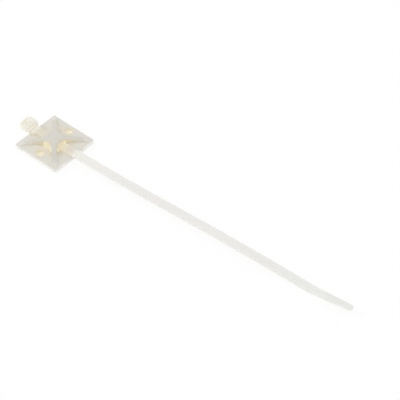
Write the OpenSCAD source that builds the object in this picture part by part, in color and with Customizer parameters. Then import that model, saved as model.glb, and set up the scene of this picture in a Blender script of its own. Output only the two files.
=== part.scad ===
// Self-adhesive four-way mount with a cable tie threaded through it.
// The mount lies on z = 0 with its centre at the origin. The tie's tail points towards +X.

/* [Mount] */
// Side of the square base
mount_side = 20; // [18:0.5:28]
// Radius of the base's upright corners
corner_radius = 0.3; // [0.2:0.1:1]
// Thickness of the base along its edges
base_thickness = 0.9; // [0.7:0.1:1.4]
// Rise of the ramps from the base's edges to their lips at the tunnel
ramp_rise = 0.35; // [0.2:0.05:0.6]
// Distance from the mount's centre to the edge of the bridge over a tunnel
rim_distance = 3.2; // [2.7:0.1:3.6]
// Gap between the edge of the bridge and the lip of a ramp, seen from above
lip_gap = 0.8; // [0.1:0.05:1]
// Clear height of a tunnel mouth above its lip
mouth_height = 1.4; // [1.3:0.05:2]
// Clear width of the two crossing tunnels
tunnel_width = 5.6; // [5.4:0.1:6]
// Radius of the tunnels' upper corners
tunnel_corner = 0.6; // [0.2:0.1:0.7]
// Thickness of the bridge that crosses over the tunnels
bridge_thickness = 0.85; // [0.6:0.05:1.4]
// Distance from the mount's centre at which the roof starts to fall
plateau_radius = 2.6; // [2:0.1:3.5]
// Length of the rounding between the flat top and the falling ridges
crown_length = 2; // [1:0.2:3]
// Distance from the mount's centre at which the ridges run out into the base
ridge_reach = 13.2; // [11:0.1:13.6]
// Radius of a valley's rounded inner end
valley_radius = 4.1; // [3.6:0.1:4.6]
// Angle between a valley's middle line and its side walls
valley_angle = 45.5; // [45:0.25:46.5]
// Lean of the valley walls from upright
wall_draft = 4; // [1:0.5:6]
// Radius of the cove between a ridge and the ramps beside it
cove_radius = 0.5; // [0.3:0.1:0.9]
// Diameter of a screw hole
screw_hole_diameter = 3; // [2.5:0.1:3.6]
// Distance between the axes of the two screw holes
screw_spacing = 14.8; // [13.5:0.1:15]

/* [Adhesive pad and liner] */
// Thickness of the foam pad
pad_thickness = 0.8; // [0.5:0.1:1.6]
// Distance of the pad's edge inside the base's edge
pad_inset = 0.2; // [0:0.1:0.5]
// Thickness of the release liner
liner_thickness = 0.1; // [0.05:0.01:0.2]
// Distance that the liner reaches past the base's edge
liner_margin = 0.1; // [0:0.1:1]

/* [Strap] */
// Length of the tie from the back of its head to its tip
tie_length = 141.6; // [120:0.2:200]
// Distance from the mount's centre to the back of the tie's head
head_reach = 14.5; // [14.5:0.1:20]
// Turn of the tie in the tunnel, seen from above
tie_turn = 3.5; // [0:0.1:4]
// Shift of the tie from the middle of the tunnel, towards -Y
tie_shift = 0.4; // [0:0.05:0.5]
// Width of the strap
strap_width = 3; // [2.4:0.1:3.2]
// Thickness of the strap
strap_thickness = 1; // [0.8:0.05:1.1]
// Clearance between the strap and the edges of the tunnel that guide it
strap_clearance = 0.03; // [0.02:0.01:0.05]
// Length over which the neck narrows from the head to the strap
neck_length = 4; // [2:0.5:5]
// Width of the neck at the head
neck_width = 3.8; // [3.4:0.1:4.4]

/* [Tail] */
// Length of the tail from its bend to the tip
tail_length = 15.5; // [12:0.5:20]
// Upward slope of the tail
tail_angle = 6.6; // [2:0.2:12]
// Length of the bend between strap and tail
bend_length = 5; // [3:0.5:8]
// Width of the tail at its round tip
tip_width = 2; // [1.6:0.1:2.2]
// Thickness of the tail at its tip
tip_thickness = 0.75; // [0.5:0.05:0.8]

/* [Teeth] */
// Distance from one tooth of the strap to the next
tooth_pitch = 0.8; // [0.7:0.05:1]
// Depth of the teeth below the strap's rails
tooth_depth = 0.3; // [0.2:0.05:0.35]
// Depth of the tooth tips below the strap's rails
tooth_sink = 0.05; // [0.02:0.01:0.08]
// Part of the pitch that a tooth's steep face takes
tooth_steep_share = 0.25; // [0.15:0.05:0.4]
// Width of the toothed channel
channel_width = 1.9; // [1.4:0.1:2]
// Plain length of strap between the head and the first tooth
plain_length = 6; // [5:0.5:10]

/* [Head] */
// Length of the head along the tie
head_length = 5.3; // [4.8:0.1:5.6]
// Width of the head
head_width = 5.4; // [4.8:0.1:5.8]
// Height of the head
head_height = 2.4; // [2.4:0.1:3.2]
// Depth of the head below the strap's underside
head_drop = 0.1; // [0.05:0.05:0.3]
// Radius of the two round corners at the back of the head
back_corner = 1.6; // [0.6:0.1:1.8]
// Radius of the two corners beside the neck
front_corner = 0.9; // [0.3:0.1:1.1]
// Bevel along the head's edges at its back
head_bevel = 0.35; // [0.2:0.05:0.5]
// Bevel along the head's two lower side edges
keel_bevel = 0.45; // [0.2:0.05:0.6]
// Length of the sloping shoulder between the head's top and the neck
shoulder_length = 1.4; // [0.8:0.1:1.5]
// Height of the shoulder's foot above the strap
shoulder_foot = 0.6; // [0.3:0.1:0.9]
// Thickness of the wall behind the slot
slot_wall = 0.9; // [0.7:0.05:1]
// Clearance of a strap that is pulled through the slot
slot_clearance = 0.3; // [0.2:0.05:0.35]

/* [Pawl] */
// Thickness of the pawl at its hinge
pawl_thickness = 0.7; // [0.6:0.05:0.8]
// Room behind the pawl for it to swing
pawl_room = 0.3; // [0.25:0.05:0.4]
// Height of the pawl's tip above the strap's underside
pawl_rise = 2.1; // [1.9:0.1:2.2]
// Number of teeth on the pawl
pawl_teeth = 2; // [1:1:2]
// Gap between the pawl and each side of the slot
pawl_side_gap = 0.35; // [0.25:0.05:0.45]

/* [Hidden] */
$fn = 64;
// Overlap of cuts and joined bodies
overlap = 1;
// Reach of the cutting bodies past the mount
cut_reach = 2 * mount_side;
// Spacing of the points along the strap's gentle wave and along its bend
wave_step = 4;
bend_step = 0.5;
// Number of steps in the rounding between the bridge's flat top and the ridges
crown_steps = 6;

// Heights of the mount
seat_height = liner_thickness + pad_thickness;
mount_height = base_thickness + ramp_rise + mouth_height + bridge_thickness;
ceiling_height = base_thickness + ramp_rise + mouth_height;
lip_distance = rim_distance + lip_gap;
valley_centre = rim_distance + valley_radius;
ridge_slope = (mount_height - base_thickness) / (ridge_reach - plateau_radius);
// Half width of a ridge's foot near its corner of the base
ridge_half = valley_centre * sin(valley_angle) - valley_radius - ridge_reach * sin(valley_angle - 45);

// Path of the strap's underside, in the tie's own upright plane
lip_z = seat_height + base_thickness + ramp_rise + strap_clearance;
strap_swing = strap_width / 2 + tie_shift + rim_distance * sin(tie_turn);
rim_reach = valley_centre - sqrt(pow(valley_radius, 2) - pow(strap_swing, 2));
// The strap leans until it meets the bridge's far edge or lies along the ramp
strap_slope = min(
    (mouth_height - strap_thickness - 2 * strap_clearance) / (lip_distance + rim_reach),
    ramp_rise / (mount_side / 2 - lip_distance)
);
tip_x = tie_length - head_reach;
bend_x = tip_x - tail_length - bend_length / 2;
tail_slope = tan(tail_angle);
bend_z = pow(strap_slope, 2) * bend_length / (2 * (strap_slope + tail_slope));
wave_length = bend_x - lip_distance;
wave_height = (strap_slope * wave_length - (lip_z - bend_z)) / (2 * PI);

// Places along the tie
head_back = -head_reach;
head_front = head_back + head_length;
teeth_start = head_front + plain_length;
tooth_count = floor((bend_x - teeth_start) / tooth_pitch);
slot_front = slot_wall + strap_thickness + slot_clearance;
pawl_hinge = slot_front - tooth_depth + pawl_thickness + pawl_room;

// Height of the strap's underside at a distance x along the tie
function strap_z(x) =
    x < lip_distance ? lip_z + strap_slope * (lip_distance - x)
    : x < bend_x ? wave_z((x - lip_distance) / wave_length)
    : x < bend_x + bend_length ? bend_curve_z(x - bend_x)
    : bend_curve_z(bend_length) + tail_slope * (x - bend_x - bend_length);
function wave_z(u) = bend_z + (lip_z - bend_z) * (1 - u) - wave_height * sin(360 * u);
function bend_curve_z(d) =
    bend_z - strap_slope * d + (strap_slope + tail_slope) * d * d / (2 * bend_length);

// Thickness of the strap at a distance x along the tie
function thickness_at(x) =
    x < bend_x ? strap_thickness
    : strap_thickness - (strap_thickness - tip_thickness) * (x - bend_x) / (tip_x - bend_x);

// Height of the mount's roof at a distance r from its axis
function roof_z(r) =
    r < plateau_radius - crown_length / 2 ? mount_height
    : r < plateau_radius + crown_length / 2
        ? mount_height - ridge_slope * pow(r - plateau_radius + crown_length / 2, 2) / (2 * crown_length)
    : mount_height - ridge_slope * (r - plateau_radius);

module rounded_square(side, radius) {
    square([side, side - 2 * radius], center = true);
    square([side - 2 * radius, side], center = true);
    for (x = [-1, 1], y = [-1, 1])
        translate([x * (side / 2 - radius), y * (side / 2 - radius)])
            circle(radius);
}

// Turns an outline in x and z into an upright slab that is centred on y = 0
module upright_slab(width) {
    rotate([90, 0, 0])
        linear_extrude(width, center = true)
            children();
}

// Everything behind an upright plane that leans outwards with height
module leaning_side(turn, distance, lean) {
    rotate(turn)
        translate([distance, 0, 0])
            rotate([0, lean, 0])
                translate([-cut_reach, -cut_reach, -cut_reach])
                    cube([cut_reach, 2 * cut_reach, 2 * cut_reach]);
}

// The space of one valley: a rounded inner end that opens in straight walls
module valley_cut() {
    flare = tan(wall_draft);
    translate([valley_centre, 0, base_thickness]) {
        translate([0, 0, -overlap])
            cylinder(
                h = overlap + mount_height,
                r1 = valley_radius - overlap * flare,
                r2 = valley_radius + mount_height * flare
            );
        intersection() {
            leaning_side(90 + valley_angle, valley_radius, wall_draft);
            leaning_side(-90 - valley_angle, valley_radius, wall_draft);
            leaning_side(180, valley_radius * sin(valley_angle), atan(flare * sin(valley_angle)));
        }
    }
}

// The square base with four ramps that rise to the tunnel mouths
module base_and_ramps() {
    half = mount_side / 2;
    ramp_outline = [
        [-half, 0], [half, 0], [half, base_thickness],
        [lip_distance, base_thickness + ramp_rise], [-lip_distance, base_thickness + ramp_rise],
        [-half, base_thickness]
    ];
    intersection() {
        linear_extrude(mount_height)
            rounded_square(mount_side, corner_radius);
        upright_slab(mount_side)
            polygon(ramp_outline);
        rotate(90)
            upright_slab(mount_side)
                polygon(ramp_outline);
    }
}

// Everything under a roof that is flat over the tunnels and falls towards the corners
module roof() {
    crown_start = plateau_radius - crown_length / 2;
    rotate_extrude()
        polygon([
            [0, base_thickness / 2], [ridge_reach, base_thickness / 2], [ridge_reach, base_thickness],
            for (i = [crown_steps : -1 : 0])
                let (r = crown_start + crown_length * i / crown_steps) [r, roof_z(r)],
            [0, mount_height]
        ]);
}

// Coves that run along both sides of the four ridges
module ridge_coves() {
    foot_half = ridge_half + cove_radius;
    for (turn = [45, 135])
        rotate(turn)
            rotate([90, 0, 90])
                linear_extrude(2 * ridge_reach, center = true)
                    difference() {
                        translate([-foot_half, base_thickness / 2])
                            square([2 * foot_half, base_thickness / 2 + cove_radius]);
                        for (x = [-foot_half, foot_half])
                            translate([x, base_thickness + cove_radius])
                                circle(cove_radius);
                    }
}

// The bridge with its four ridges
module bridge_and_ridges() {
    intersection() {
        roof();
        linear_extrude(mount_height)
            rounded_square(mount_side, corner_radius);
        union() {
            ridge_coves();
            difference() {
                linear_extrude(mount_height)
                    rounded_square(mount_side, corner_radius);
                for (turn = [0 : 90 : 270])
                    rotate(turn)
                        valley_cut();
            }
        }
    }
}

// The two crossing tunnels, open underneath and bounded by the lips of the ramps
module tunnels() {
    difference() {
        for (turn = [0, 90])
            rotate(turn)
                rotate([90, 0, 90])
                    linear_extrude(2 * valley_centre, center = true)
                        tunnel_outline();
        for (turn = [0 : 90 : 270])
            rotate(turn)
                translate([valley_centre + lip_gap, 0, -2 * overlap])
                    cylinder(h = 3 * overlap + mount_height, r = valley_radius);
    }
}

module tunnel_outline() {
    straight = tunnel_width / 2 - tunnel_corner;
    translate([-tunnel_width / 2, -overlap])
        square([tunnel_width, overlap + ceiling_height - tunnel_corner]);
    translate([-straight, -overlap])
        square([2 * straight, overlap + ceiling_height]);
    for (x = [-straight, straight])
        translate([x, ceiling_height - tunnel_corner])
            circle(tunnel_corner);
}

module mount_base() {
    color([0.86, 0.84, 0.79])
        translate([0, 0, seat_height])
            difference() {
                union() {
                    base_and_ramps();
                    bridge_and_ridges();
                }
                tunnels();
                for (y = [-screw_spacing / 2, screw_spacing / 2])
                    translate([0, y, -overlap])
                        cylinder(h = 2 * overlap + mount_height, d = screw_hole_diameter);
            }
}

module adhesive_pad() {
    color([0.95, 0.9, 0.72])
        translate([0, 0, liner_thickness])
            linear_extrude(pad_thickness)
                rounded_square(mount_side - 2 * pad_inset, corner_radius);
}

module release_liner() {
    color([0.97, 0.95, 0.88])
        linear_extrude(liner_thickness)
            rounded_square(mount_side + 2 * liner_margin, corner_radius);
}

// Side view of the strap and tail, from inside the head to the tip
module strap_side() {
    stations = [
        head_front - overlap, lip_distance,
        for (i = [1 : floor(wave_length / wave_step)]) lip_distance + i * wave_step,
        for (d = [0 : bend_step : bend_length]) bend_x + d,
        tip_x + overlap
    ];
    last = len(stations) - 1;
    polygon([
        for (x = stations) [x, strap_z(x)],
        for (i = [last : -1 : 0]) [stations[i], strap_z(stations[i]) + thickness_at(stations[i])]
    ]);
}

// Top view of the neck, strap and tail with its round tip
module strap_plan() {
    half = strap_width / 2;
    tip_centre = tip_x - tip_width / 2;
    polygon([
        [head_front - overlap, -neck_width / 2], [head_front, -neck_width / 2],
        [head_front + neck_length, -half], [bend_x, -half], [tip_centre, -tip_width / 2],
        [tip_centre, tip_width / 2], [bend_x, half], [head_front + neck_length, half],
        [head_front, neck_width / 2], [head_front - overlap, neck_width / 2]
    ]);
    translate([tip_centre, 0])
        circle(d = tip_width);
}

// The channel in the strap's underside, less its teeth
module toothed_channel() {
    teeth_end = teeth_start + tooth_count * tooth_pitch;
    steep = tooth_pitch * tooth_steep_share;
    below = -overlap;
    upright_slab(channel_width)
        polygon([
            [teeth_start, below],
            for (i = [0 : tooth_count - 1])
                let (x = teeth_start + i * tooth_pitch)
                each [
                    [x, strap_z(x) + tooth_depth],
                    [x + steep, strap_z(x + steep) + tooth_sink]
                ],
            [teeth_end, strap_z(teeth_end) + tooth_depth],
            [teeth_end, below]
        ]);
}

module strap() {
    difference() {
        intersection() {
            upright_slab(head_width)
                strap_side();
            linear_extrude(lip_z + mount_height + cut_reach)
                strap_plan();
        }
        toothed_channel();
    }
}

// Side view of the head, from its back at x = 0 to its foot on the neck
module head_side() {
    top = head_height - head_drop;
    polygon([
        [head_bevel, -head_drop], [0, head_bevel - head_drop], [0, top - head_bevel], [head_bevel, top],
        [head_length - shoulder_length, top], [head_length, strap_thickness + shoulder_foot],
        [head_length, 0], [head_length - head_drop, -head_drop]
    ]);
}

// Top view of the head, from its back at x = 0, with four round corners
module head_plan() {
    half = head_width / 2;
    front_start = head_length - front_corner;
    translate([back_corner, -half])
        square([front_start - back_corner, head_width]);
    translate([0, back_corner - half])
        square([back_corner, head_width - 2 * back_corner]);
    translate([front_start, front_corner - half])
        square([front_corner, head_width - 2 * front_corner]);
    for (side = [-1, 1]) {
        translate([back_corner, side * (half - back_corner)])
            circle(back_corner);
        translate([front_start, side * (half - front_corner)])
            circle(front_corner);
    }
}

// End view of the head, with its two lower side edges bevelled
module head_end() {
    half = head_width / 2;
    top = head_height - head_drop;
    polygon([
        [keel_bevel - half, -head_drop], [half - keel_bevel, -head_drop], [half, keel_bevel - head_drop],
        [half, top], [-half, top], [-half, keel_bevel - head_drop]
    ]);
}

// The pawl leans from its hinge in the slot's front wall towards the back, teeth first
module pawl_side() {
    tips = slot_front - tooth_depth;
    root_z = head_bevel - head_drop;
    inside_wall = pawl_hinge + pawl_room;
    first_tooth = pawl_rise - pawl_teeth * tooth_pitch;
    polygon([
        [inside_wall, root_z],
        [pawl_hinge - pawl_room, root_z],
        for (i = [0 : pawl_teeth - 1])
            let (z = first_tooth + i * tooth_pitch)
            each [
                [slot_front, z],
                [tips, z + tooth_pitch * (1 - tooth_steep_share)]
            ],
        [slot_front, pawl_rise],
        [tips + pawl_thickness, pawl_rise],
        [pawl_hinge - pawl_room, root_z + pawl_thickness + pawl_room],
        [inside_wall, root_z + pawl_thickness]
    ]);
}

module head() {
    slot_width = strap_width + slot_clearance;
    difference() {
        intersection() {
            upright_slab(head_width)
                head_side();
            translate([0, 0, -head_drop])
                linear_extrude(head_height)
                    head_plan();
            rotate([90, 0, 90])
                linear_extrude(head_length)
                    head_end();
        }
        translate([slot_wall, -slot_width / 2, -head_drop - overlap])
            cube([pawl_hinge - slot_wall, slot_width, head_height + 2 * overlap]);
    }
    upright_slab(slot_width - 2 * pawl_side_gap)
        pawl_side();
}

module cable_tie() {
    color([0.94, 0.93, 0.9])
        translate([0, -tie_shift, 0])
            rotate(tie_turn) {
                strap();
                translate([head_back, 0, strap_z(head_back)])
                    rotate([0, atan(strap_slope), 0])
                        head();
            }
}

mount_base();
adhesive_pad();
release_liner();
cable_tie();
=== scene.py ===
"""Looks of a cable tie threaded through its adhesive mount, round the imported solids, in metres."""

import logging
import math
from abc import ABC, abstractmethod
from dataclasses import dataclass
from enum import Enum, IntEnum

import bmesh
import bpy
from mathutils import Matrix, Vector, noise


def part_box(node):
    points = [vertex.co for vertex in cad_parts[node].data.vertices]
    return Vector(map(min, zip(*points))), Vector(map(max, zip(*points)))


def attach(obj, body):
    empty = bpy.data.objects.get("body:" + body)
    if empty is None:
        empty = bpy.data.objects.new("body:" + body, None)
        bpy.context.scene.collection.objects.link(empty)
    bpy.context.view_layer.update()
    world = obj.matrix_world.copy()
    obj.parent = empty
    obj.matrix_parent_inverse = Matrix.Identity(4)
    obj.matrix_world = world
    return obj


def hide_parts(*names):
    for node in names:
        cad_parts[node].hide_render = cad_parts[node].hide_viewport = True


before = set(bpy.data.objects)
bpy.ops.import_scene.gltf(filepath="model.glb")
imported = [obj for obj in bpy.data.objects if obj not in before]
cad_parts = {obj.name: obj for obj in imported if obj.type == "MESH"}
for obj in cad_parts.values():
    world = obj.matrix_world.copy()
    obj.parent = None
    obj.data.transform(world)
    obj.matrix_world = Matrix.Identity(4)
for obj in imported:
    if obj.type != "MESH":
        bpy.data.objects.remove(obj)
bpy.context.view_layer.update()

Colour = tuple[float, float, float, float]
Triple = tuple[float, float, float]
Span = tuple[float, float]
Feed = bpy.types.NodeSocket | float | Colour | Triple

LOG = logging.getLogger("cable_tie_mount")
MM = 0.001
ROOT = "root"
WHITE: Colour = (1.0, 1.0, 1.0, 1.0)
NOUGHT: Triple = (0.0, 0.0, 0.0)
WHOLE: Span = (0.0, 1.0)


def shade(red: float, green: float, blue: float) -> Colour:
    """Turns a display colour of 0 to 255 into the linear colour that a shader reads."""
    parts = [c / 255 for c in (red, green, blue)]
    return (*[c / 12.92 if c <= 0.04045 else ((c + 0.055) / 1.055) ** 2.4 for c in parts], 1.0)


class PadFace(Enum):
    """The two kinds of face on the foam pad, by material slot."""

    CUT_EDGE = 0
    ADHESIVE = 1


class ColourMix(IntEnum):
    """The sockets of a Mix node that mixes colours, by their place among all its sockets."""

    FACTOR = 0
    FIRST = 6
    SECOND = 7
    RESULT = 2


@dataclass(frozen=True)
class Pattern:
    """The kind of noise that a texture is made of.

    Attributes:
        detail: Its octaves.
        roughness: How strong the small octaves are.
        spread: The values of the noise that become 0 and 1.
    """

    detail: float
    roughness: float
    spread: Span


@dataclass
class NodeSheet:
    """A node tree that is being filled, with short ways to add and join nodes.

    Attributes:
        tree: The material's, group's or world's node tree.
    """

    tree: bpy.types.NodeTree

    def add(self, kind: str, **settings: object) -> bpy.types.Node:
        """Adds a shader node.

        Args:
            kind: The node's type, without its ShaderNode prefix.
            **settings: Properties of the node, such as its operation.

        Returns:
            The new node.
        """
        node = self.tree.nodes.new("ShaderNode" + kind)
        for name, value in settings.items():
            setattr(node, name, value)
        return node

    def feed(self, socket: bpy.types.NodeSocket, value: Feed) -> None:
        """Joins an input to another node's output, or sets it to a plain value.

        Args:
            socket: The input to feed.
            value: An output socket, a number, a vector or a colour.
        """
        if isinstance(value, bpy.types.NodeSocket):
            self.tree.links.new(value, socket)
        else:
            socket.default_value = value

    def fill(self, node: bpy.types.Node, *values: Feed) -> bpy.types.Node:
        """Feeds a node's inputs in their order.

        Args:
            node: The node.
            *values: What its first inputs take.

        Returns:
            The node.
        """
        for socket, value in zip(node.inputs, values):
            self.feed(socket, value)
        return node

    def math(self, operation: str, first: Feed, second: Feed = 0.0) -> bpy.types.NodeSocket:
        """Adds a Math node and gives its result."""
        return self.fill(self.add("Math", operation=operation), first, second).outputs["Value"]

    def vector(self, operation: str, first: Feed, second: Feed = NOUGHT) -> bpy.types.Node:
        """Adds a Vector Math node, whose result is its Vector or its Value."""
        return self.fill(self.add("VectorMath", operation=operation), first, second)

    def place(self) -> bpy.types.NodeSocket:
        """Adds the piece's own coordinates, in metres."""
        return self.add("TexCoord").outputs["Object"]

    def facing(self) -> bpy.types.NodeSocket:
        """Adds the direction that each face looks in."""
        return self.add("NewGeometry").outputs["True Normal"]

    def axes(self, vector: Feed) -> list[bpy.types.NodeSocket]:
        """Splits a vector into its X, Y and Z."""
        return list(self.fill(self.add("SeparateXYZ"), vector).outputs)

    def reach(self, x: Feed, y: Feed) -> bpy.types.NodeSocket:
        """Adds the distance of a point from an upright axis, from its X and Y off that axis."""
        level = self.fill(self.add("CombineXYZ"), x, y).outputs["Vector"]
        return self.vector("LENGTH", level).outputs["Value"]

    def draw_out(self, vector: Feed, scale: Triple) -> bpy.types.NodeSocket:
        """Draws a pattern out along its axes.

        Args:
            vector: The coordinates that the pattern reads.
            scale: What each axis is multiplied by: less than 1 draws the pattern out.

        Returns:
            The new coordinates.
        """
        node = self.add("Mapping")
        self.feed(node.inputs["Vector"], vector)
        self.feed(node.inputs["Scale"], scale)
        return node.outputs["Vector"]

    def fade(self, value: Feed, span: Span, start: Feed = 0.0, end: Feed = 1.0) -> bpy.types.NodeSocket:
        """Adds a smooth step from one result to another.

        Args:
            value: The value that is read.
            span: Where the step starts and where it ends.
            start: The result before the step.
            end: The result after it.

        Returns:
            The result.
        """
        node = self.add("MapRange", interpolation_type="SMOOTHSTEP")
        return self.fill(node, value, *span, start, end).outputs["Result"]

    def between(self, mask: Feed, start: Feed, end: Feed) -> bpy.types.NodeSocket:
        """Adds a value that goes smoothly from start to end as a mask goes from 0 to 1."""
        return self.fade(mask, WHOLE, start, end)

    def mix(self, factor: Feed, first: Feed, second: Feed) -> bpy.types.NodeSocket:
        """Adds a colour mix.

        Args:
            factor: The share of the second colour.
            first: The first colour.
            second: The second colour.

        Returns:
            The mixed colour.
        """
        node = self.add("Mix", data_type="RGBA")
        self.feed(node.inputs[ColourMix.FACTOR], factor)
        self.feed(node.inputs[ColourMix.FIRST], first)
        self.feed(node.inputs[ColourMix.SECOND], second)
        return node.outputs[ColourMix.RESULT]

    def noise(self, vector: Feed, scale: Feed, pattern: Pattern) -> bpy.types.NodeSocket:
        """Adds a Noise texture.

        Args:
            vector: The coordinates that it reads.
            scale: Its scale, in waves a metre.
            pattern: The kind of noise.

        Returns:
            The noise's value, from about 0.25 to 0.75.
        """
        node = self.add("TexNoise")
        self.feed(node.inputs["Vector"], vector)
        self.feed(node.inputs["Scale"], scale)
        self.feed(node.inputs["Detail"], pattern.detail)
        self.feed(node.inputs["Roughness"], pattern.roughness)
        return node.outputs["Fac"]


def new_group(name: str, inputs: dict[str, str], outputs: dict[str, str],
              ) -> tuple[bpy.types.NodeTree, NodeSheet, bpy.types.Node, bpy.types.Node]:
    """Starts a shader node group with named sockets.

    Args:
        name: The group's name.
        inputs: Its inputs' socket types by name.
        outputs: Its outputs' socket types by name.

    Returns:
        The group, its sheet, and its input and output nodes.
    """
    group = bpy.data.node_groups.new(name, "ShaderNodeTree")
    for side, sockets in (("INPUT", inputs), ("OUTPUT", outputs)):
        for label, kind in sockets.items():
            group.interface.new_socket(label, in_out=side, socket_type="NodeSocket" + kind)
    sheet = NodeSheet(group)
    return group, sheet, group.nodes.new("NodeGroupInput"), group.nodes.new("NodeGroupOutput")


class Effects:
    """The node groups that more than one finish uses, built once.

    Attributes:
        CLOUDS: Noise of the clouds and flow marks.
        GRAIN: Noise of the fine grain.
        FIBRES: Noise of the fibres.
        CLOUD_HEIGHT: How high the clouds stand, as a share of the grain.
        CELL_WALL: Distances from a cell's edge at which its wall starts to end and ends, in cells.
        EDGE_SAMPLES: Rays that look for an edge nearby.
        moulding: Group for moulded plastic.
        soft_edge: Group for rounded edges.
        fibres: Group for paper and foam.
    """

    CLOUDS = Pattern(detail=4.0, roughness=0.55, spread=(0.3, 0.7))
    GRAIN = Pattern(detail=2.0, roughness=0.6, spread=(0.25, 0.75))
    FIBRES = Pattern(detail=5.0, roughness=0.7, spread=(0.3, 0.7))
    CLOUD_HEIGHT = 0.6
    CELL_WALL: Span = (0.02, 0.3)
    EDGE_SAMPLES = 6

    def __init__(self) -> None:
        """Builds the groups."""
        self.moulding = self.build_moulding()
        self.soft_edge = self.build_soft_edge()
        self.fibres = self.build_fibres()

    def build_moulding(self) -> bpy.types.NodeTree:
        """Builds the clouds, flow marks and fine grain of moulded plastic.

        Returns:
            The group.
        """
        group, sheet, given, made = new_group(
            "moulded_texture",
            {"Vector": "Vector", "Cloud Scale": "Float", "Grain Scale": "Float"},
            {"Cloud": "Float", "Grain": "Float", "Height": "Float"})
        cloud = sheet.noise(given.outputs["Vector"], given.outputs["Cloud Scale"], self.CLOUDS)
        grain = sheet.noise(given.outputs["Vector"], given.outputs["Grain Scale"], self.GRAIN)
        low_waves = sheet.math("MULTIPLY", cloud, self.CLOUD_HEIGHT)
        sheet.feed(made.inputs["Cloud"], sheet.fade(cloud, self.CLOUDS.spread))
        sheet.feed(made.inputs["Grain"], sheet.fade(grain, self.GRAIN.spread))
        sheet.feed(made.inputs["Height"], sheet.math("ADD", grain, low_waves))
        return group

    def build_soft_edge(self) -> bpy.types.NodeTree:
        """Builds the small round that a mould leaves on each edge, as a normal.

        Returns:
            The group.
        """
        group, sheet, given, made = new_group("soft_edge", {"Radius": "Float"}, {"Normal": "Vector"})
        rounded = sheet.add("Bevel", samples=self.EDGE_SAMPLES)
        sheet.feed(rounded.inputs["Radius"], given.outputs["Radius"])
        sheet.feed(made.inputs["Normal"], rounded.outputs["Normal"])
        return group

    def build_fibres(self) -> bpy.types.NodeTree:
        """Builds the fibres of paper and the cells of foam.

        Returns:
            The group.
        """
        group, sheet, given, made = new_group(
            "fibres_and_cells",
            {"Vector": "Vector", "Cell Scale": "Float", "Fibre Scale": "Float"},
            {"Cell": "Float", "Fibre": "Float"})
        cells = sheet.add("TexVoronoi", feature="DISTANCE_TO_EDGE")
        sheet.feed(cells.inputs["Vector"], given.outputs["Vector"])
        sheet.feed(cells.inputs["Scale"], given.outputs["Cell Scale"])
        fibre = sheet.noise(given.outputs["Vector"], given.outputs["Fibre Scale"], self.FIBRES)
        sheet.feed(made.inputs["Cell"], sheet.fade(cells.outputs["Distance"], self.CELL_WALL))
        sheet.feed(made.inputs["Fibre"], sheet.fade(fibre, self.FIBRES.spread))
        return group


def new_material(name: str) -> tuple[bpy.types.Material, NodeSheet, bpy.types.Node]:
    """Starts a node material with one Principled shader.

    Args:
        name: The material's name.

    Returns:
        The material, its sheet and its Principled node.
    """
    material = bpy.data.materials.new(name)
    material.use_nodes = True
    sheet = NodeSheet(material.node_tree)
    return material, sheet, material.node_tree.nodes["Principled BSDF"]


def place_group(sheet: NodeSheet, group: bpy.types.NodeTree, **values: Feed) -> bpy.types.Node:
    """Places a node group in a material.

    Args:
        sheet: The material's sheet.
        group: The group.
        **values: What its inputs take, with _ for a space in their names.

    Returns:
        The group's node.
    """
    node = sheet.add("Group", node_tree=group)
    for name, value in values.items():
        sheet.feed(node.inputs[name.replace("_", " ")], value)
    return node


def show_blend(sheet: NodeSheet, share: Feed, first: bpy.types.Node, second: bpy.types.Node) -> None:
    """Makes a blend of two shaders what a material shows.

    Args:
        sheet: The material's sheet.
        share: The share of the second shader.
        first: The first shader.
        second: The second shader.
    """
    blend = sheet.fill(sheet.add("MixShader"), share, first.outputs[0], second.outputs[0])
    sheet.feed(sheet.tree.nodes["Material Output"].inputs["Surface"], blend.outputs["Shader"])


def let_light_through(sheet: NodeSheet, skin: bpy.types.Node, passed: Feed) -> None:
    """Lets the light that lies behind a translucent wall come through it, tinted.

    Args:
        sheet: The material's sheet.
        skin: Its Principled node.
        passed: The share of each colour that comes through one face.
    """
    clear = sheet.add("BsdfTransparent")
    sheet.feed(clear.inputs["Color"], passed)
    show_blend(sheet, sheet.add("LightPath").outputs["Is Diffuse Ray"], skin, clear)


@dataclass(frozen=True)
class Relief:
    """How a texture stands out of a surface.

    Attributes:
        strength: How much of it shows, from 0 to 1.
        height: Its height, in metres.
        pitted: Whether its high values are pits.
    """

    strength: float
    height: float
    pitted: bool = False

    def press(self, sheet: NodeSheet, skin: bpy.types.Node, texture: bpy.types.NodeSocket,
              normal: bpy.types.NodeSocket | None = None) -> None:
        """Presses a texture into a finish.

        Args:
            sheet: The material's sheet.
            skin: Its Principled node.
            texture: The texture's heights.
            normal: The normal under the texture, where it isn't the surface's own.
        """
        bump = sheet.add("Bump", invert=self.pitted)
        sheet.feed(bump.inputs["Strength"], self.strength)
        sheet.feed(bump.inputs["Distance"], self.height)
        sheet.feed(bump.inputs["Height"], texture)
        if normal is not None:
            sheet.feed(bump.inputs["Normal"], normal)
        sheet.feed(skin.inputs["Normal"], bump.outputs["Normal"])


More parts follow.
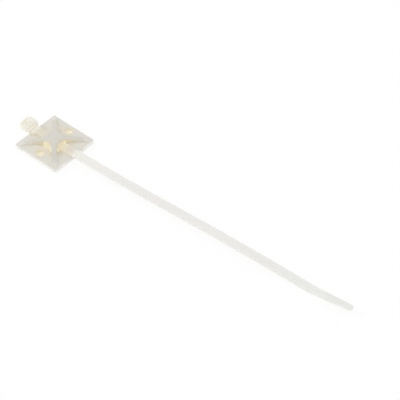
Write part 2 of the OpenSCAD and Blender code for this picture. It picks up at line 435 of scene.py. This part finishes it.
@dataclass(frozen=True)
class Nylon(ABC):
    """Natural nylon: cloudy and matt, with light that goes into it and through it.

    Attributes:
        title: The material's name.
        drawn: What each axis of its texture is multiplied by: less than 1 draws it out.
        cloud_scale: Waves of its clouds in a metre.
        grain_scale: Waves of its grain in a metre.
        clouding: How much darker the clouds are.
        roughness: Its least and its greatest roughness.
        relief: How its texture stands out.
        edge_radius: Round on its edges, in metres.
        passed: Share of the light that each face lets through to what lies behind.
        sunk: Share of the light that spreads under its surface.
        depth: How far that light spreads, in metres.
        ior: How strongly it bends light.
        shine: How strong its reflections are.
    """

    title: str
    drawn: Triple
    cloud_scale: float
    grain_scale: float
    clouding: float
    roughness: Span
    relief: Relief
    edge_radius: float
    passed: Colour
    sunk: float
    depth: float
    ior: float = 1.53
    shine: float = 0.3

    @abstractmethod
    def colour(self, sheet: NodeSheet, where: bpy.types.NodeSocket) -> Feed:
        """Adds the nylon's colour, without its clouds."""

    def paleness(self, sheet: NodeSheet, where: bpy.types.NodeSocket,
                 clouds: bpy.types.NodeSocket) -> Feed:
        """Gives what the colour is multiplied by: the clouds alone."""
        return clouds

    def clearness(self, sheet: NodeSheet, where: bpy.types.NodeSocket) -> Feed:
        """Gives the share of the light that each face lets through."""
        return self.passed

    def make(self, effects: Effects) -> bpy.types.Material:
        """Builds the material.

        Args:
            effects: The shared node groups.

        Returns:
            The material.
        """
        material, sheet, skin = new_material(self.title)
        where = sheet.place()
        texture = place_group(sheet, effects.moulding, Vector=sheet.draw_out(where, self.drawn),
                              Cloud_Scale=self.cloud_scale, Grain_Scale=self.grain_scale)
        edge = place_group(sheet, effects.soft_edge, Radius=self.edge_radius)
        clouds = sheet.between(texture.outputs["Cloud"], 1.0, 1 - self.clouding)
        clouded = sheet.add("HueSaturation")
        sheet.feed(clouded.inputs["Color"], self.colour(sheet, where))
        sheet.feed(clouded.inputs["Value"], self.paleness(sheet, where, clouds))
        sheet.feed(skin.inputs["Base Color"], clouded.outputs["Color"])
        sheet.feed(skin.inputs["Roughness"], sheet.between(texture.outputs["Grain"], *self.roughness))
        self.relief.press(sheet, skin, texture.outputs["Height"], edge.outputs["Normal"])
        skin.inputs["IOR"].default_value = self.ior
        skin.inputs["Specular IOR Level"].default_value = self.shine
        skin.inputs["Subsurface Weight"].default_value = self.sunk
        skin.inputs["Subsurface Radius"].default_value = (self.depth, self.depth, self.depth)
        skin.inputs["Subsurface Scale"].default_value = 1.0
        let_light_through(sheet, skin, self.clearness(sheet, where))
        return material


@dataclass(frozen=True)
class MountNylon(Nylon):
    """Natural nylon of the mount, warmer where the pad shines through.

    Attributes:
        crown: Colour of the bridge and ridges, over the hollow tunnels.
        flank_painted_light: Colour of the sides of the bridge and ridges, painted paler and warmer than
            the crown.
        lip_painted_glow: Colour of the ramps' lips: a painted glow, paler and yellower, for light that
            comes through above the adhesive.
        ramp: Colour of the ramps near the tunnels, where the adhesive shines through.
        shaded: Colour of the ramp between the strap and the near ridge, which is in their shade.
        border: Colour of the ramps near the edges.
        wall: Colour of the upright sides, painted paler for the light that comes through the thin base.
        bore_painted_light: Colour of the screw holes' walls, painted paler against the shade in the
            holes.
        levelness: Upward shares of a face's direction at which flank_painted_light starts to turn into
            crown and ends.
        lip_end: Distances from the middle at which lip_painted_glow starts to turn into ramp and ends,
            in metres.
        ramp_end: Distances from the middle at which ramp starts to turn into border and ends.
        bridge_foot: Heights at which the ramps' colours start to turn into the bridge's and end.
        wall_start: Distances from the middle planes at which wall starts and is full.
        hole_place: Distance of the screw holes from the middle.
        hole_edge: Distances from a hole's axis at which bore_painted_light starts to end and ends.
        shade_x: Places along X at which shaded starts and is full.
        shade_y: Places along Y at which shaded starts to end and ends.
        shade_reach: Distances from the middle at which shaded starts to end and ends.
    """

    title: str = "mount_nylon"
    drawn: Triple = (1.0, 1.0, 1.0)
    cloud_scale: float = 320.0
    grain_scale: float = 7000.0
    clouding: float = 0.03
    roughness: Span = (0.46, 0.6)
    relief: Relief = Relief(strength=0.25, height=0.02 * MM)
    edge_radius: float = 0.3 * MM
    passed: Colour = (0.985, 0.975, 0.925, 1.0)
    sunk: float = 0.3
    depth: float = 0.5 * MM
    crown: Colour = shade(212, 209, 200)
    flank_painted_light: Colour = shade(229, 221, 205)
    lip_painted_glow: Colour = shade(236, 226, 203)
    ramp: Colour = shade(223, 215, 199)
    shaded: Colour = shade(211, 201, 176)
    border: Colour = shade(221, 218, 209)
    wall: Colour = shade(238, 236, 229)
    bore_painted_light: Colour = shade(240, 235, 219)
    levelness: Span = (0.3, 0.9)
    lip_end: Span = (3.9 * MM, 5.4 * MM)
    ramp_end: Span = (5.0 * MM, 10.0 * MM)
    bridge_foot: Span = (2.2 * MM, 2.6 * MM)
    wall_start: Span = (9.9 * MM, 9.98 * MM)
    hole_place: float = 7.4 * MM
    hole_edge: Span = (1.5 * MM, 1.58 * MM)
    shade_x: Span = (2.6 * MM, 3.4 * MM)
    shade_y: Span = (-3.0 * MM, -1.8 * MM)
    shade_reach: Span = (5.0 * MM, 8.5 * MM)

    def colour(self, sheet: NodeSheet, where: bpy.types.NodeSocket) -> Feed:
        """Adds the colours of the ramps, the bridge, the walls and the holes.

        Args:
            sheet: The material's sheet.
            where: The mount's own coordinates.

        Returns:
            The colour.
        """
        x, y, z = sheet.axes(where)
        reach = sheet.reach(x, y)
        # The lips carry a painted glow, paler and yellower than the ramps.
        body = sheet.mix(sheet.fade(reach, self.lip_end), self.lip_painted_glow, self.ramp)
        body = sheet.mix(sheet.fade(reach, self.ramp_end), body, self.border)
        beside = sheet.math("MULTIPLY", sheet.fade(x, self.shade_x),
                            sheet.fade(y, self.shade_y, 1.0, 0.0))
        near = sheet.fade(reach, self.shade_reach, 1.0, 0.0)
        body = sheet.mix(sheet.math("MULTIPLY", beside, near), body, self.shaded)
        # Painted light by facing: the sides of the bridge and ridges are paler than their tops.
        upward = sheet.axes(sheet.facing())[2]
        bridge = sheet.mix(sheet.fade(upward, self.levelness), self.flank_painted_light, self.crown)
        body = sheet.mix(sheet.fade(z, self.bridge_foot), body, bridge)
        # Painted light: the upright walls are paler.
        side = sheet.math("MAXIMUM", sheet.math("ABSOLUTE", x), sheet.math("ABSOLUTE", y))
        body = sheet.mix(sheet.fade(side, self.wall_start), body, self.wall)
        # Painted light: the screw holes' walls are paler.
        from_hole = sheet.math("SUBTRACT", sheet.math("ABSOLUTE", y), self.hole_place)
        return sheet.mix(sheet.fade(sheet.reach(x, from_hole), self.hole_edge), self.bore_painted_light, body)


@dataclass(frozen=True)
class Stretch:
    """A stretch of the tie with a colour of its own.

    Attributes:
        colour: Its colour.
        start: Where the colour starts to show and where it is full, along X, in metres.
    """

    colour: Colour
    start: Span


@dataclass(frozen=True)
class TieNylon(Nylon):
    """Natural nylon of the tie: hazy and see-through, with the flow of the melt along it.

    Attributes:
        held: Share of the light that each face lets through past the mount, which is hazier.
        held_start: Places along X at which held starts and is full, in metres.
        head: Colour of the thick head.
        shoulder_painted_light: The head's slope down to the neck, painted paler against the shade at the
            head's foot.
        neck: The stretch over the mount, painted darker and yellower for the head's shade and the mount
            that shows through it.
        mouth_painted_glow: The stretch that comes out of the tunnel, with a painted warm glow from the
            pad below.
        ramp: The stretch above the ramp, painted darker and warmer for the ramp that shows through it.
        leaving: The strap where it leaves the mount.
        strap: The strap.
        low: The strap where it nears the floor.
        tail: The strap's thinner end.
        flank_painted_light: How much paler the upright faces are: painted light where light leaves the
            thin sides.
        flank_lit: The same painted light, stronger above the ramp, where light also comes up from below.
        lit_start: Places along X at which flank_lit starts and is full, in metres.
        lit_end: Places along X at which flank_lit starts to end and ends, in metres.
        levelness: Up or down shares of a face's direction at which flank_painted_light starts to end and
            ends.
        slot: How much paler the walls in the head's slot are: painted light against the shade in the
            slot.
        slot_place: Middle of the slot, in metres.
        slot_facing: Distances of the slot's middle in front of a face at which slot starts and is full.
        slot_reach: Distances from the slot's middle at which slot starts to end and ends.
    """

    title: str = "tie_nylon"
    drawn: Triple = (0.15, 1.0, 1.0)
    cloud_scale: float = 420.0
    grain_scale: float = 5000.0
    clouding: float = 0.02
    roughness: Span = (0.42, 0.54)
    relief: Relief = Relief(strength=0.1, height=0.02 * MM)
    edge_radius: float = 0.15 * MM
    passed: Colour = (0.985, 0.975, 0.95, 1.0)
    sunk: float = 0.4
    depth: float = 3.0 * MM
    held: Colour = (0.86, 0.845, 0.8, 1.0)
    held_start: Span = (8.0 * MM, 12.0 * MM)
    head: Colour = shade(231, 227, 214)
    # Painted light: paler against the shade at the head's foot.
    shoulder_painted_light: Stretch = Stretch(shade(239, 235, 221), (-9.9 * MM, -9.1 * MM))
    # Painted shade: darker and yellower over the mount.
    neck: Stretch = Stretch(shade(216, 212, 196), (-8.6 * MM, -7.0 * MM))
    # Painted glow: yellow from the pad below.
    mouth_painted_glow: Stretch = Stretch(shade(229, 218, 188), (0.0 * MM, 2.5 * MM))
    # Painted shade: darker and warmer above the ramp.
    ramp: Stretch = Stretch(shade(217, 210, 198), (3.0 * MM, 8.0 * MM))
    leaving: Stretch = Stretch(shade(233, 230, 224), (8.5 * MM, 11.0 * MM))
    strap: Stretch = Stretch(shade(230, 228, 225), (11.0 * MM, 35.0 * MM))
    low: Stretch = Stretch(shade(230, 230, 227), (85.0 * MM, 104.0 * MM))
    tail: Stretch = Stretch(shade(224, 225, 221), (114.0 * MM, 119.0 * MM))
    flank_painted_light: float = 1.07
    flank_lit: float = 1.22
    lit_start: Span = (3.0 * MM, 5.0 * MM)
    lit_end: Span = (9.0 * MM, 12.0 * MM)
    levelness: Span = (0.3, 0.9)
    slot: float = 1.14
    slot_place: Triple = (-12.53 * MM, -1.17 * MM, 4.05 * MM)
    slot_facing: Span = (0.0 * MM, 0.3 * MM)
    slot_reach: Span = (2.8 * MM, 3.2 * MM)

    def colour(self, sheet: NodeSheet, where: bpy.types.NodeSocket) -> Feed:
        """Adds the colours along the tie, from its head to its tail.

        Args:
            sheet: The material's sheet.
            where: The tie's own coordinates.

        Returns:
            The colour.
        """
        along = sheet.axes(where)[0]
        body = self.head
        # The shoulder, neck, mouth and ramp stretches are painted light and shade.
        for stretch in (self.shoulder_painted_light, self.neck, self.mouth_painted_glow, self.ramp,
                        self.leaving, self.strap, self.low, self.tail):
            body = sheet.mix(sheet.fade(along, stretch.start), body, stretch.colour)
        return body

    def paleness(self, sheet: NodeSheet, where: bpy.types.NodeSocket,
                 clouds: bpy.types.NodeSocket) -> Feed:
        """Adds the paler sides and slot to the clouds.

        Args:
            sheet: The material's sheet.
            where: The tie's own coordinates.
            clouds: What the clouds multiply the colour by.

        Returns:
            What the colour is multiplied by.
        """
        along = sheet.axes(where)[0]
        normal = sheet.facing()
        level = sheet.math("ABSOLUTE", sheet.axes(normal)[2])
        # Painted light by facing: the upright faces are paler, more so above the ramp.
        paler = sheet.fade(along, self.lit_start, self.flank_painted_light, self.flank_lit)
        paler = sheet.fade(along, self.lit_end, paler, self.flank_painted_light)
        sides = sheet.fade(level, self.levelness, paler, 1.0)
        # Painted light: the walls inside the head's slot are paler.
        inward = sheet.vector("SUBTRACT", self.slot_place, where).outputs["Vector"]
        apart = sheet.vector("LENGTH", inward).outputs["Value"]
        towards = sheet.vector("DOT_PRODUCT", inward, normal).outputs["Value"]
        inside = sheet.math("MULTIPLY", sheet.fade(towards, self.slot_facing),
                            sheet.fade(apart, self.slot_reach, 1.0, 0.0))
        sides = sheet.math("MULTIPLY", sides, sheet.between(inside, 1.0, self.slot))
        return sheet.math("MULTIPLY", sides, clouds)

    def clearness(self, sheet: NodeSheet, where: bpy.types.NodeSocket) -> Feed:
        """Adds the share of the light that each face lets through, less past the mount."""
        past = sheet.fade(sheet.axes(where)[0], self.held_start)
        return sheet.mix(past, self.passed, self.held)


@dataclass(frozen=True)
class PadFoam:
    """White closed-cell foam, seen on the pad's cut edges.

    Attributes:
        wall: Colour of the cell walls.
        pit: Colour inside the cut cells.
        pit_share: How much of the pits' colour shows.
        cell_scale: Cells in a metre.
        fibre_scale: Waves of its uneven sheen in a metre.
        roughness: Its least and its greatest roughness.
        relief: How its cells stand out.
        shine: How strong its reflections are.
    """

    wall: Colour = shade(254, 254, 253)
    pit: Colour = shade(253, 253, 251)
    pit_share: float = 0.8
    cell_scale: float = 6500.0
    fibre_scale: float = 900.0
    roughness: Span = (0.75, 0.95)
    relief: Relief = Relief(strength=0.3, height=0.05 * MM, pitted=True)
    shine: float = 0.2

    def make(self, effects: Effects) -> bpy.types.Material:
        """Builds the material.

        Args:
            effects: The shared node groups.

        Returns:
            The material.
        """
        material, sheet, skin = new_material("pad_foam")
        cells = place_group(sheet, effects.fibres, Vector=sheet.place(), Cell_Scale=self.cell_scale,
                            Fibre_Scale=self.fibre_scale)
        pits = sheet.math("MULTIPLY", cells.outputs["Cell"], self.pit_share)
        sheet.feed(skin.inputs["Base Color"], sheet.mix(pits, self.wall, self.pit))
        sheet.feed(skin.inputs["Roughness"], sheet.between(cells.outputs["Fibre"], *self.roughness))
        self.relief.press(sheet, skin, cells.outputs["Cell"])
        skin.inputs["Specular IOR Level"].default_value = self.shine
        return material


@dataclass(frozen=True)
class PadAdhesive:
    """Clear, slightly yellow adhesive film on the pad's two faces.

    Attributes:
        colour: Main colour.
        thick: Colour where the film is thicker.
        cloud_scale: Waves of its thickness in a metre.
        grain_scale: Waves of its fine texture in a metre.
        roughness: Its least and its greatest roughness.
        relief: How its texture stands out.
    """

    colour: Colour = shade(247, 241, 217)
    thick: Colour = shade(243, 234, 204)
    cloud_scale: float = 900.0
    grain_scale: float = 4000.0
    roughness: Span = (0.22, 0.4)
    relief: Relief = Relief(strength=0.3, height=0.03 * MM)

    def make(self, effects: Effects) -> bpy.types.Material:
        """Builds the material.

        Args:
            effects: The shared node groups.

        Returns:
            The material.
        """
        material, sheet, skin = new_material("pad_adhesive")
        film = place_group(sheet, effects.moulding, Vector=sheet.place(), Cloud_Scale=self.cloud_scale,
                           Grain_Scale=self.grain_scale)
        sheet.feed(skin.inputs["Base Color"], sheet.mix(film.outputs["Cloud"], self.colour, self.thick))
        sheet.feed(skin.inputs["Roughness"], sheet.between(film.outputs["Grain"], *self.roughness))
        self.relief.press(sheet, skin, film.outputs["Height"])
        return material


@dataclass(frozen=True)
class LinerPaper:
    """Glazed release paper, with faint fibres and a silicone gloss.

    Attributes:
        colour: Main colour.
        fibre: Colour of the fibres.
        drawn: What each axis of its texture is multiplied by: less than 1 draws it out.
        fibre_scale: Waves of its fibres in a metre.
        roughness: Its least and its greatest roughness.
        relief: How its fibres stand out.
        passed: Share of the light that each face lets through to what lies behind.
    """

    colour: Colour = shade(254, 254, 252)
    fibre: Colour = shade(249, 247, 242)
    drawn: Triple = (0.3, 1.0, 1.0)
    fibre_scale: float = 1400.0
    roughness: Span = (0.3, 0.45)
    relief: Relief = Relief(strength=0.2, height=0.01 * MM)
    passed: Colour = (0.98, 0.98, 0.97, 1.0)

    def make(self, effects: Effects) -> bpy.types.Material:
        """Builds the material.

        Args:
            effects: The shared node groups.

        Returns:
            The material.
        """
        material, sheet, skin = new_material("liner_paper")
        paper = place_group(sheet, effects.fibres, Vector=sheet.draw_out(sheet.place(), self.drawn),
                            Fibre_Scale=self.fibre_scale)
        sheet.feed(skin.inputs["Base Color"], sheet.mix(paper.outputs["Fibre"], self.colour, self.fibre))
        sheet.feed(skin.inputs["Roughness"], sheet.between(paper.outputs["Fibre"], *self.roughness))
        self.relief.press(sheet, skin, paper.outputs["Fibre"])
        let_light_through(sheet, skin, self.passed)
        return material


def link_mesh(name: str, shape: bmesh.types.BMesh) -> bpy.types.Object:
    """Turns a finished bmesh into an object at the origin.

    Args:
        name: The piece's name.
        shape: The bmesh, which is freed.

    Returns:
        The object.
    """
    mesh = bpy.data.meshes.new(name)
    shape.to_mesh(mesh)
    shape.free()
    piece = bpy.data.objects.new(name, mesh)
    bpy.context.scene.collection.objects.link(piece)
    return piece


@dataclass
class MouldedBody:
    """A moulded piece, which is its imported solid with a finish.

    Attributes:
        node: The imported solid.
        finish: Its nylon.
    """

    node: str
    finish: Nylon

    def dress(self, effects: Effects) -> bpy.types.Object:
        """Gives the solid its finish.

        Args:
            effects: The shared node groups.

        Returns:
            The piece.
        """
        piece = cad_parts[self.node]
        piece.data.materials.clear()
        piece.data.materials.append(self.finish.make(effects))
        return piece


@dataclass
class MountBody(MouldedBody):
    """The mount: base, ramps, bridge, tunnels and screw holes."""

    node: str = "mount_base"
    finish: Nylon = MountNylon()


@dataclass
class TieBody(MouldedBody):
    """The tie: head, pawl, teeth, strap and tail."""

    node: str = "cable_tie"
    finish: Nylon = TieNylon()


@dataclass
class FoamPad:
    """The double-sided foam pad: die-cut edges that swell a little between two adhesive films.

    Attributes:
        node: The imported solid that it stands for.
        corner: Round of its upright corners, in metres.
        corner_steps: Faces round each corner.
        layers: Loops across its thickness.
        long_edge: Length from which an edge is cut up, in metres.
        long_cuts: Cuts along such an edge.
        level_rise: Rise up to which an edge counts as level, in metres.
        level_face: Upward share of a face's direction from which it is an adhesive face.
        swell: How far its edges swell out at half height, in metres.
        bluntness: How round the swelling is: less than 1 makes it blunter than a sine.
        waver: How far the cut wavers, in metres.
        waver_scale: Waves of the cut in a metre.
        slack: How far it stays under the mount, in metres.
        edge_finish: Finish of its cut edges.
        face_finish: Finish of its two faces.
    """

    node: str = "adhesive_pad"
    corner: float = 0.35 * MM
    corner_steps: int = 5
    layers: int = 7
    long_edge: float = 4.0 * MM
    long_cuts: int = 40
    level_rise: float = 0.1 * MM
    level_face: float = 0.9
    swell: float = 0.05 * MM
    bluntness: float = 0.7
    waver: float = 0.015 * MM
    waver_scale: float = 900.0
    slack: float = 0.01 * MM
    edge_finish: PadFoam = PadFoam()
    face_finish: PadAdhesive = PadAdhesive()

    def build(self) -> bpy.types.Object:
        """Builds the pad in the place of its solid.

        Returns:
            The piece.
        """
        low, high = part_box(self.node)
        high.z -= self.slack
        reach = high.x - self.swell - self.waver
        shape = bmesh.new()
        bmesh.ops.create_cube(shape, size=1.0)
        bmesh.ops.scale(shape, vec=(2 * reach, 2 * reach, high.z - low.z), verts=shape.verts)
        bmesh.ops.translate(shape, vec=(0, 0, (low.z + high.z) / 2), verts=shape.verts)
        bmesh.ops.bevel(shape, geom=self.standing_edges(shape), offset=self.corner, affect="EDGES",
                        segments=self.corner_steps, profile=0.5, material=-1)
        bmesh.ops.subdivide_edges(shape, edges=self.standing_edges(shape), cuts=self.layers)
        long_edges = [e for e in shape.edges if e.calc_length() > self.long_edge]
        bmesh.ops.subdivide_edges(shape, edges=long_edges, cuts=self.long_cuts)
        for vert in shape.verts:
            share = (vert.co.z - low.z) / (high.z - low.z)
            vert.co += self.outward(vert.co, reach) * self.bulge(vert.co, share)
        for face in shape.faces:
            flat = abs(face.normal.z) > self.level_face
            face.material_index = (PadFace.ADHESIVE if flat else PadFace.CUT_EDGE).value
            face.smooth = not flat
        return link_mesh("foam_pad", shape)

    def standing_edges(self, shape: bmesh.types.BMesh) -> list[bmesh.types.BMEdge]:
        """Lists the edges that run across the pad's thickness."""
        return [e for e in shape.edges if abs((e.verts[0].co - e.verts[1].co).z) > self.level_rise]

    def bulge(self, point: Vector, share: float) -> float:
        """Works out how far the pad's cut edge stands out.

        Args:
            point: A point of the edge.
            share: Its height as a share of the pad's thickness.

        Returns:
            The distance, in metres.
        """
        swollen = math.sin(math.pi * share) ** self.bluntness if 0 < share < 1 else 0.0
        return self.swell * swollen + self.waver * noise.noise(point * self.waver_scale)

    def outward(self, point: Vector, reach: float) -> Vector:
        """Works out which way a point of the pad's cut edge looks.

        Args:
            point: The point.
            reach: Half the pad's side, in metres.

        Returns:
            The direction, of length 0 where the point isn't on the cut edge.
        """
        inner = reach - self.corner
        side = Vector((math.copysign(1, point.x) * (abs(point.x) > inner),
                       math.copysign(1, point.y) * (abs(point.y) > inner), 0))
        return side.normalized()

    def dress(self, piece: bpy.types.Object, effects: Effects) -> None:
        """Gives the pad its finishes and its place in the model.

        Args:
            piece: The pad.
            effects: The shared node groups.
        """
        piece.data.materials.append(self.edge_finish.make(effects))
        piece.data.materials.append(self.face_finish.make(effects))
        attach(piece, ROOT)
        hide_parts(self.node)


@dataclass
class ReleaseLiner:
    """The release paper under the pad, with round corners and edges that curl up a hair.

    Attributes:
        node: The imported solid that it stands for.
        grid: Faces along each side.
        corner: Round of its corners, in metres.
        corner_steps: Faces round each corner.
        held: How far from the middle the pad holds it flat, in metres.
        curl: How far its edge rises past the pad, in metres.
        curl_power: How late it rises: more than 1 bends it up towards its edge.
        finish: Its paper.
    """

    node: str = "release_liner"
    grid: int = 48
    corner: float = 0.5 * MM
    corner_steps: int = 5
    held: float = 9.8 * MM
    curl: float = 0.06 * MM
    curl_power: float = 1.5
    finish: LinerPaper = LinerPaper()

    def build(self) -> bpy.types.Object:
        """Builds the liner in the place of its solid.

        Returns:
            The piece.
        """
        low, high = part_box(self.node)
        shape = bmesh.new()
        bmesh.ops.create_grid(shape, x_segments=self.grid, y_segments=self.grid, size=high.x)
        corners = [v for v in shape.verts if len(v.link_edges) == 2]
        bmesh.ops.bevel(shape, geom=corners, offset=self.corner, affect="VERTICES",
                        segments=self.corner_steps, profile=0.5, material=-1)
        bmesh.ops.recalc_face_normals(shape, faces=shape.faces)
        made = bmesh.ops.extrude_face_region(shape, geom=shape.faces[:])
        top = [v for v in made["geom"] if isinstance(v, bmesh.types.BMVert)]
        bmesh.ops.translate(shape, vec=(0, 0, high.z - low.z), verts=top)
        for vert in shape.verts:
            past = max(abs(vert.co.x), abs(vert.co.y)) - self.held
            if past > 0:
                vert.co.z += self.curl * (past / (high.x - self.held)) ** self.curl_power
        bmesh.ops.recalc_face_normals(shape, faces=shape.faces)
        return link_mesh("release_paper", shape)

    def dress(self, piece: bpy.types.Object, effects: Effects) -> None:
        """Gives the liner its finish and its place in the model.

        Args:
            piece: The liner.
            effects: The shared node groups.
        """
        piece.data.materials.append(self.finish.make(effects))
        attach(piece, ROOT)
        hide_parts(self.node)


@dataclass
class Studio:
    """The pale floor and the soft light round the object.

    Attributes:
        floor_reach: Half the floor's side, in metres.
        floor_grid: Faces along each side of the floor.
        floor_level: The floor's height, in metres.
        floor_colour: The floor's colour.
        floor_roughness: The floor's roughness.
        backdrop: Share of plain white that the camera sees on the floor.
        fill: Strength of the light from all round.
        key: Power of the soft lamp, in watts.
        key_place: Where the lamp stands, in metres.
        key_size: How wide the lamp is, in metres.
    """

    floor_reach: float = 2.0
    floor_grid: int = 8
    floor_level: float = -0.02 * MM
    floor_colour: Colour = shade(252, 252, 252)
    floor_roughness: float = 0.9
    backdrop: float = 0.8
    fill: float = 0.96
    key: float = 0.65
    key_place: Triple = (-0.5, -0.25, 0.42)
    key_size: float = 0.14

    def build_floor(self) -> None:
        """Builds the floor, which keeps a part of the object's shadow."""
        shape = bmesh.new()
        bmesh.ops.create_grid(shape, x_segments=self.floor_grid, y_segments=self.floor_grid,
                              size=self.floor_reach)
        bmesh.ops.translate(shape, vec=(0, 0, self.floor_level), verts=shape.verts)
        floor = link_mesh("studio_floor", shape)
        material, sheet, skin = new_material("studio_white")
        skin.inputs["Base Color"].default_value = self.floor_colour
        skin.inputs["Roughness"].default_value = self.floor_roughness
        skin.inputs["Specular IOR Level"].default_value = 0.0
        white = sheet.math("MULTIPLY", self.seen_directly(sheet), self.backdrop)
        show_blend(sheet, white, skin, sheet.add("Emission"))
        floor.data.materials.append(material)

    @staticmethod
    def seen_directly(sheet: NodeSheet) -> bpy.types.NodeSocket:
        """Adds a mask of the rays that show the backdrop: camera, mirror and see-through rays.

        Args:
            sheet: The sheet of the material or world.

        Returns:
            The mask.
        """
        path = sheet.add("LightPath")
        seen = sheet.math("MAXIMUM", path.outputs["Is Camera Ray"], path.outputs["Is Glossy Ray"])
        return sheet.math("MAXIMUM", seen, path.outputs["Is Transmission Ray"])

    def build_light(self) -> None:
        """Builds the light from all round and the soft lamp on the head's side."""
        world = bpy.data.worlds.new("studio_light")
        world.use_nodes = True
        bpy.context.scene.world = world
        # Only diffuse rays pass the nylon, so they alone look for the world's light.
        world.cycles.sampling_method = "NONE"
        sheet = NodeSheet(world.node_tree)
        sky = world.node_tree.nodes["Background"]
        sky.inputs["Color"].default_value = WHITE
        sheet.feed(sky.inputs["Strength"], sheet.between(self.seen_directly(sheet), self.fill, 1.0))
        lamp = bpy.data.lights.new("key_lamp", "AREA")
        lamp.shape = "DISK"
        lamp.size = self.key_size
        lamp.energy = self.key
        holder = bpy.data.objects.new("key_lamp", lamp)
        holder.location = self.key_place
        holder.rotation_mode = "QUATERNION"
        holder.rotation_quaternion = (-Vector(self.key_place)).to_track_quat("-Z", "Y")
        bpy.context.scene.collection.objects.link(holder)


@dataclass
class PhotoCamera:
    """The camera of the photograph.

    Attributes:
        target: The point that it looks at, in metres.
        distance: Its distance from there, in metres.
        azimuth: Its turn round the object, in degrees.
        elevation: Its height over the horizon, in degrees.
        lens: Its focal length, in millimetres.
        film: Width of its frame, in millimetres.
        nearest: Distance from which it sees, in metres.
        farthest: Distance up to which it sees, in metres.
    """

    target: Triple = (57.51 * MM, 13.44 * MM, 0.0)
    distance: float = 0.4383
    azimuth: float = 40.23
    elevation: float = 47.19
    lens: float = 113.31
    film: float = 36.0
    nearest: float = 0.005
    farthest: float = 20.0

    def build(self) -> None:
        """Builds the camera and makes it the scene's."""
        turn = math.radians(self.azimuth)
        rise = math.radians(self.elevation)
        back = Vector((math.sin(turn) * math.cos(rise),
                       -math.cos(turn) * math.cos(rise),
                       math.sin(rise)))
        data = bpy.data.cameras.new("photo_camera")
        data.lens = self.lens
        data.sensor_width = self.film
        data.clip_start = self.nearest
        data.clip_end = self.farthest
        camera = bpy.data.objects.new("photo_camera", data)
        camera.location = Vector(self.target) + back * self.distance
        camera.rotation_mode = "QUATERNION"
        camera.rotation_quaternion = (-back).to_track_quat("-Z", "Y")
        bpy.context.scene.collection.objects.link(camera)
        bpy.context.scene.camera = camera


def main() -> None:
    """Builds the object's pieces in order, then the studio and the camera."""
    logging.basicConfig(level=logging.INFO, format="%(name)s: %(message)s")
    bpy.context.scene.view_settings.view_transform = "Standard"
    effects = Effects()
    for body in (MountBody(), TieBody()):
        LOG.info("dressed %s", body.dress(effects).name)
    for part in (FoamPad(), ReleaseLiner()):
        piece = part.build()
        part.dress(piece, effects)
        LOG.info("built %s with %d faces", piece.name, len(piece.data.polygons))
    studio = Studio()
    studio.build_floor()
    studio.build_light()
    PhotoCamera().build()
    LOG.info("built the studio and the camera")


if __name__ == "__main__":
    main()
